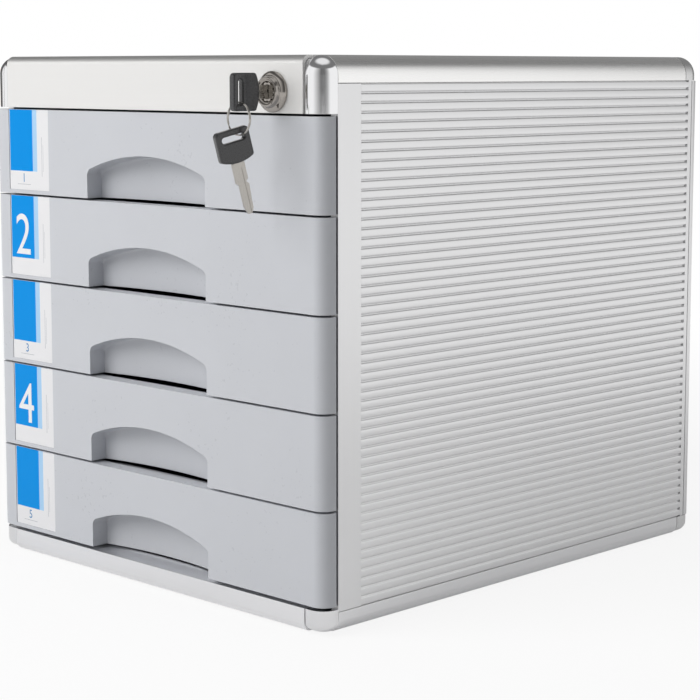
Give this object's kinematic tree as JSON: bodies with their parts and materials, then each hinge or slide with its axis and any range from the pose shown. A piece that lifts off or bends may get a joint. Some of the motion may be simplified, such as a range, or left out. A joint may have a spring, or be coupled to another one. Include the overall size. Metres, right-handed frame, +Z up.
{
  "type": "desktop file drawer",
  "caption": "Desktop cabinet of satin aluminium with grooved sides, flat plastic drawers with arched finger recesses, and a key lock that bars all of them.",
  "frame": {"origin": "middle of the whole outline, with the keys that hang in front, on the surface it stands on", "axes": "+X right seen from the front, +Y to the back, +Z up"},
  "size_m": [0.304, 0.3968, 0.325],
  "materials": {
    "satin_aluminium": "satin anodised extrusion",
    "warm_aluminium": "satin anodised, slightly warm",
    "chromed_trim": "polished chrome",
    "grey_cap": "silver grey moulding",
    "rubber_feet": "matte",
    "guide_plastic": "moulded grey",
    "bright_steel": "nickel plated",
    "key_plastic": "black moulding",
    "front_plastic": "semi-gloss cool grey",
    "tray_plastic": "moulded cool grey",
    "label_card": "printed card, blue and white"
  },
  "bodies": {
    "root": {"base_pan": "satin_aluminium", "base_front": "satin_aluminium", "base_rail_left": "satin_aluminium", "base_rail_right": "satin_aluminium", "base_rail_back": "satin_aluminium", "feet": "rubber_feet", "side_panel_left": "satin_aluminium", "side_panel_right": "satin_aluminium", "front_post_left": "satin_aluminium", "front_post_right": "satin_aluminium", "back_post_left": "satin_aluminium", "back_post_right": "satin_aluminium", "top_rail_left": "warm_aluminium", "top_rail_right": "warm_aluminium", "top_rail_back": "warm_aluminium", "header": "warm_aluminium", "top_panel": "warm_aluminium", "back_panel": "satin_aluminium", "cap_top_left": "chromed_trim", "cap_top_right": "chromed_trim", "cap_base_left": "chromed_trim", "cap_base_right": "chromed_trim", "back_caps": "grey_cap", "guide_left": "guide_plastic", "guide_right": "guide_plastic", "lock_barrel": "chromed_trim", "lock_nut": "bright_steel", "back_screws": "bright_steel", "guide_screws": "bright_steel"},
    "drawer_1": {"drawer_front_1": "front_plastic", "drawer_tray_1": "tray_plastic", "label_card_1": "label_card", "drawer_screws_1": "bright_steel"},
    "drawer_2": {"drawer_front_2": "front_plastic", "drawer_tray_2": "tray_plastic", "label_card_2": "label_card", "drawer_screws_2": "bright_steel"},
    "drawer_3": {"drawer_front_3": "front_plastic", "drawer_tray_3": "tray_plastic", "label_card_3": "label_card", "drawer_screws_3": "bright_steel"},
    "drawer_4": {"drawer_front_4": "front_plastic", "drawer_tray_4": "tray_plastic", "label_card_4": "label_card", "drawer_screws_4": "bright_steel"},
    "drawer_5": {"drawer_front_5": "front_plastic", "drawer_tray_5": "tray_plastic", "label_card_5": "label_card", "drawer_screws_5": "bright_steel"},
    "lock_plug": {"lock_plug": "chromed_trim", "lock_cam": "bright_steel", "cam_screw": "bright_steel"},
    "lock_bar": {"lock_bar": "satin_aluminium"},
    "key_1": {"key_1_head": "key_plastic", "key_1_blade": "bright_steel"},
    "key_ring": {"key_ring": "bright_steel"},
    "key_2": {"key_2_head": "key_plastic", "key_2_blade": "bright_steel"}
  },
  "joints": [
    {"name": "drawer_1_slide", "type": "slide", "parent": "root", "child": "drawer_1", "axis": [0, -1, 0], "range_m": [0, 0.21]},
    {"name": "drawer_2_slide", "type": "slide", "parent": "root", "child": "drawer_2", "axis": [0, -1, 0], "range_m": [0, 0.21]},
    {"name": "drawer_3_slide", "type": "slide", "parent": "root", "child": "drawer_3", "axis": [0, -1, 0], "range_m": [0, 0.21]},
    {"name": "drawer_4_slide", "type": "slide", "parent": "root", "child": "drawer_4", "axis": [0, -1, 0], "range_m": [0, 0.21]},
    {"name": "drawer_5_slide", "type": "slide", "parent": "root", "child": "drawer_5", "axis": [0, -1, 0], "range_m": [0, 0.21]},
    {"name": "lock_turn", "type": "hinge", "parent": "root", "child": "lock_plug", "pos_m": [0.113, -0.15757, 0.3047], "axis": [0, 1, 0], "range_deg": [0, 90]},
    {"name": "lock_bar_drop", "type": "slide", "parent": "root", "child": "lock_bar", "axis": [0, 0, -1], "range_m": [0, 0.008]},
    {"name": "key_1_draw", "type": "slide", "parent": "lock_plug", "child": "key_1", "axis": [0, -1, 0], "range_m": [0, 0.21]},
    {"name": "key_ring_hang", "type": "hinge", "parent": "key_1", "child": "key_ring", "pos_m": [0.113, -0.18337, 0.29595], "axis": [0, 1, 0], "range_deg": [-90, 0]},
    {"name": "key_2_swing", "type": "hinge", "parent": "key_ring", "child": "key_2", "pos_m": [0.113, -0.18337, 0.28127], "axis": [0.9659, -0.2588, 0], "range_deg": [-28, 20]}
  ],
  "couplings": [
    {"joint": "lock_bar_drop", "follows": "lock_turn", "m_per_rad": 0.00509},
    {"joint": "key_ring_hang", "follows": "lock_turn", "ratio": -1},
    {"joint": "key_1_draw", "follows": "drawer_1_slide", "ratio": 1}
  ]
}
